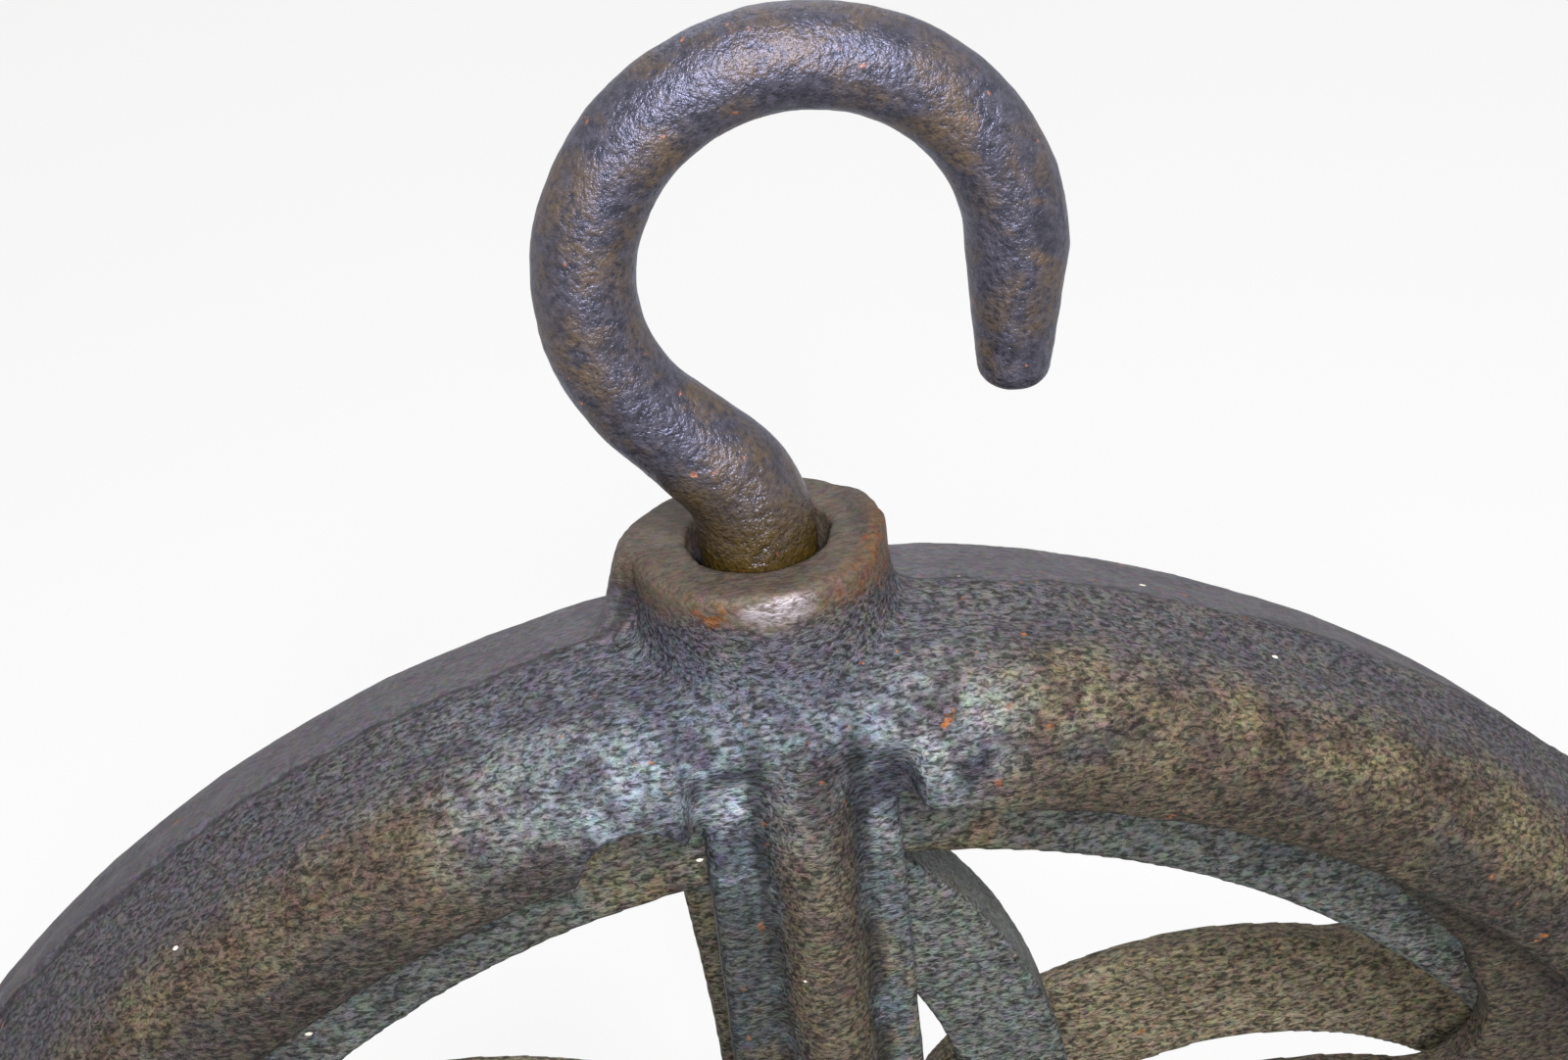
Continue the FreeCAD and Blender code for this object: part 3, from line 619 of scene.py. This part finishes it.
forgedLook = {
    "scale": "#161413",            # black forge scale gone brown
    "violet": "#2f2c31",
    "brown": "#3f3116",
    "oil": "#382b08",              # thick oil near the swivel
    "sheen": "#c4c9f2",            # thin oxide that shimmers bluish where light meets it
    "rust": "#824d2a",
    "noises": {
        # size in mm, detail, roughness, distortion
        "pits": (0.9, 3, 0.65, 0),
        "dents": (4, 2, 0.5, 0),
        "patches": (8, 3, 0.65, 0.5),
        "mottle": (1.7, 3, 0.65, 0),
        "rustSpots": (2.4, 3, 0.6, 0),
    },
    "distances": {},
    "frayed": {"oilHeight": ("height", "patches", -20)},
    "zones": {
        "violet": [("mottle", 0.36, 0.6)],
        "brown": [("patches", 0.42, 0.66)],
        "scale": [("pits", 0.46, 0.34)],
        "oil": [("oilHeight", 170, 150)],
        "rust": [("rustSpots", 0.68, 0.74)],
    },
    "coats": [
        # colour and zone, strength
        ("brown", 0.85),
        ("scale", 0.75),
        ("oil", 0.85),
        ("rust", 0.8),
    ],
    "pitRange": (0.34, 0.66),      # the noise in the pits and between them
    "pitTones": (0.65, 1.25),
    "pitHeight": 0.4,              # mm
    "dentHeight": 0.3,             # mm
    "metallic": 0.2,               # low, because scale and oil cover the steel
    "specular": 1,
    "patchRange": (0.3, 0.7),      # the noise in smooth patches and in rough ones
    "roughness": (0.36, 0.46),
    "oilGloss": 0.14,              # how much smoother the oil makes it
}


def forgedSteel(name, look):
    # hammered mild steel bar under old oil: dark and half glossy, with small pits
    material, tree, shader, place = startMaterial(name)
    field = fieldsOf(tree, place, look)
    mask = masksOf(tree, field, look["zones"])
    skin = coat(tree, look["scale"], look["violet"], mask["violet"])
    for colour, strength in look["coats"]:
        skin = coat(tree, skin, look[colour], mask[colour], strength)
    tone = fade(tree, field["pits"], *look["pitRange"], out=look["pitTones"])
    roughness = fade(tree, field["patches"], *look["patchRange"], out=look["roughness"])
    feed(tree, shader, {
        "Base Color": coat(tree, skin, tone, 1, blend="MULTIPLY"),
        "Metallic": look["metallic"],
        "Specular IOR Level": look["specular"],
        "Specular Tint": look["sheen"],
        "Roughness": addNode(tree, "Math", (mask["oil"], -look["oilGloss"], roughness),
                             operation="MULTIPLY_ADD"),
    })
    addBumps(tree, shader, [(field["dents"], look["dentHeight"], 1),
                            (field["pits"], look["pitHeight"], 1)])
    return material


# Frame casting

behindMould = [("ragged", -0.4, 0.4), ("fromAxle", 60, 120)]

frameLook = {
    "voxel": 0.7,                  # mm
    "smoothing": 3,
    "softening": 40,               # extra rounds where the real fillets are large
    "mismatch": 1.6,               # mm that the back mould box sat to the left
    "bossLobe": 3.0,               # mm more at the foot of the boss's left flank
    "crownRise": 1.4,              # mm that the crown swells where it meets the boss on the right
    "partingRise": 0.35,           # mm that the front half stands proud at the parting line
    "partingWaves": ((0.5, 37, 0), (0.3, 91, 1)),      # mm, waves in a radian, start
    "zones": {
        # fields with their values in mm at nothing and at full
        "crownRise": [("across", 11, 15), ("across", 70, 22), ("fromAxle", 136, 147),
                      ("height", 165, 158), ("depth", 25, 19)],
        "bossFlare": [("fromShank", 14.5, 16.5), ("fromShank", 30, 22), ("height", 134, 138),
                      ("height", 157, 153)],
        "armRoots": [("fromMiddle", 15.5, 17), ("across", -17, -13), ("across", 27, 17),
                     ("height", 122, 128)],
        "backHalf": [*behindMould, ("fromShank", 10.5, 13)],
        "bossRight": [("across", 1, 7), ("fromShank", 34, 24), ("height", 146, 152)],
        "bossLobe": [*behindMould, ("across", -9, -15), ("fromShank", 34, 22), ("height", 164, 150)],
        "partingRise": [("ragged", 0.3, -0.3), ("ragged", -6, -1), ("fromAxle", 144, 147)],
    },
    "relief": ((16, 0.5), (3, 0.22)),                  # mm long and mm high
    "mostTriangles": 190000,
}


def makeFrameCasting(look):
    piece = remeshed("frame", "frameCasting", look)
    field = meshFields(piece)
    turn = np.arctan2(field["across"], field["height"])
    field["ragged"] = field["depth"]
    for size, waves, start in look["partingWaves"]:
        field["ragged"] = field["ragged"] + size * np.sin(turn * waves + start)
    weights = {name: weightsOf(field, fades) for name, fades in look["zones"].items()}

    # the crown swells beside the boss, and large fillets lie where boss and arms run into the hood
    pushed(piece, "crownRise", "Z", look["crownRise"], weights["crownRise"])
    fillets = weightGroup(piece, "fillets", np.maximum(weights["bossFlare"], weights["armRoots"]))
    smoothed(piece, look["softening"], fillets)

    # the two halves of the mould didn't quite meet
    pushed(piece, "backHalf", "X", -look["mismatch"], weights["backHalf"] * (1 - weights["bossRight"]))
    pushed(piece, "bossLobe", "X", -look["bossLobe"], weights["bossLobe"])
    pushed(piece, "partingRise", "NORMAL", look["partingRise"], weights["partingRise"])
    finished(piece, look, castIronFrame(frameIron))
    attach(piece, "frame")
    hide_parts("frame")
    print("frame casting:", triangleCount(piece), "triangles")


# Sheave casting

sheaveLook = {
    "voxel": 0.9,
    "smoothing": 4,
    "relief": ((14, 0.4),),
    "mostTriangles": 150000,
}


def makeSheaveCasting(look):
    piece = remeshed("sheave", "sheaveCasting", look)
    finished(piece, look, castIronSheave(sheaveIron))
    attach(piece, "sheave")
    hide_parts("sheave")
    print("sheave casting:", triangleCount(piece), "triangles")


# Hook forging

hookLook = {
    "voxel": 0.45,
    "smoothing": 4,
    "relief": ((7, 0.5), (1.6, 0.14)),                 # hammer dents and pits
    "mostTriangles": 120000,
}


def makeHookForging(look):
    piece = remeshed("hook", "hookForging", look)
    finished(piece, look, forgedSteel("oiledForgedSteel", forgedLook))
    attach(piece, "hook")
    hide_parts("hook")
    print("hook forging:", triangleCount(piece), "triangles")


# Floor, backdrop and lamps

stageLook = {
    "floorDrop": 40,               # mm below the sheave, as the pulley hangs
    "floorSide": 12,               # m
    "floorRoughness": 0.9,
    "paper": "#f2f2f2",
    "white": "#ffffff",
    "backdropShare": 0.85,         # of the floor's own look, where the camera sees it
    "roomLight": (0.14, 1),        # on the object, and as the camera sees it
}


def seenDirectly(tree):
    path = addNode(tree, "LightPath").outputs
    seen = addNode(tree, "Math", (path["Is Camera Ray"], path["Is Glossy Ray"]), operation="MAXIMUM")
    return addNode(tree, "Math", (seen, path["Is Transmission Ray"]), operation="MAXIMUM")


def addStage(look, lowest):
    bpy.ops.mesh.primitive_plane_add(size=look["floorSide"])
    floor = bpy.context.active_object
    floor.name = "floor"
    floor.location.z = lowest - look["floorDrop"] * millimetre
    material = bpy.data.materials.new("whitePaperSweep")
    material.use_nodes = True
    tree = material.node_tree
    diffuse = tree.nodes["Principled BSDF"]
    feed(tree, diffuse, {"Base Color": look["paper"], "Roughness": look["floorRoughness"]})
    glow = addNode(tree, "Emission", {"Color": look["white"], "Strength": 1})
    share = product(tree, seenDirectly(tree), look["backdropShare"])
    blend = addNode(tree, "MixShader", (share, diffuse, glow))
    feed(tree, tree.nodes["Material Output"], {"Surface": blend})
    giveMaterial(floor, material)
    floor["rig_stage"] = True


def addWorld(look):
    world = bpy.data.worlds.new("softRoom")
    bpy.context.scene.world = world
    world.use_nodes = True
    tree = world.node_tree
    strength = fade(tree, seenDirectly(tree), 0, 1, out=look["roomLight"])
    feed(tree, tree.nodes["Background"], {"Color": look["white"], "Strength": strength})


lampAim = (0, 0, 130)              # mm, just under the boss

lampLook = {
    # heading and rise in degrees as seen from there, distance and side in m, power in W
    "flash": (-5, 31, 0.42, 0.03, 2.2),
    "lampAhead": (6, 40, 0.62, 0.05, 2.1),
    "lampAbove": (6, 52, 0.72, 0.08, 7.2),
    "leftWindow": (-80, 25, 1.2, 0.6, 1.8),
    "rightWindow": (85, 30, 1.2, 0.6, 2.6),
    "backWindow": (175, 35, 1.2, 0.6, 3.0),
}


def addLamp(name, heading, rise, distance, side, power):
    heading = radians(heading)
    rise = radians(rise)
    way = Vector((sin(heading) * cos(rise), -cos(heading) * cos(rise), sin(rise)))
    bpy.ops.object.light_add(type="AREA", location=Vector(lampAim) * millimetre + way * distance)
    lamp = bpy.context.active_object
    lamp.name = name
    lamp.data.size = side
    lamp.data.energy = power
    lamp.rotation_euler = way.to_track_quat("Z", "Y").to_euler()


addCamera(cameraLook)
makeFrameCasting(frameLook)
makeSheaveCasting(sheaveLook)
makeHookForging(hookLook)

pinSteel = forgedSteel("brownedPinSteel", forgedLook)
for nodeName in ("axle_pin", "axle_washer", "cotter_pin", "hook_washer"):
    giveMaterial(nodes[nodeName], pinSteel)
print("axle, washers and split pin: pin steel")

addStage(stageLook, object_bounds()[0].z)
addWorld(stageLook)
for lampName, lampSettings in lampLook.items():
    addLamp(lampName, *lampSettings)
bpy.context.scene.view_settings.view_transform = "Standard"
print("stage:", len(lampLook), "lamps")
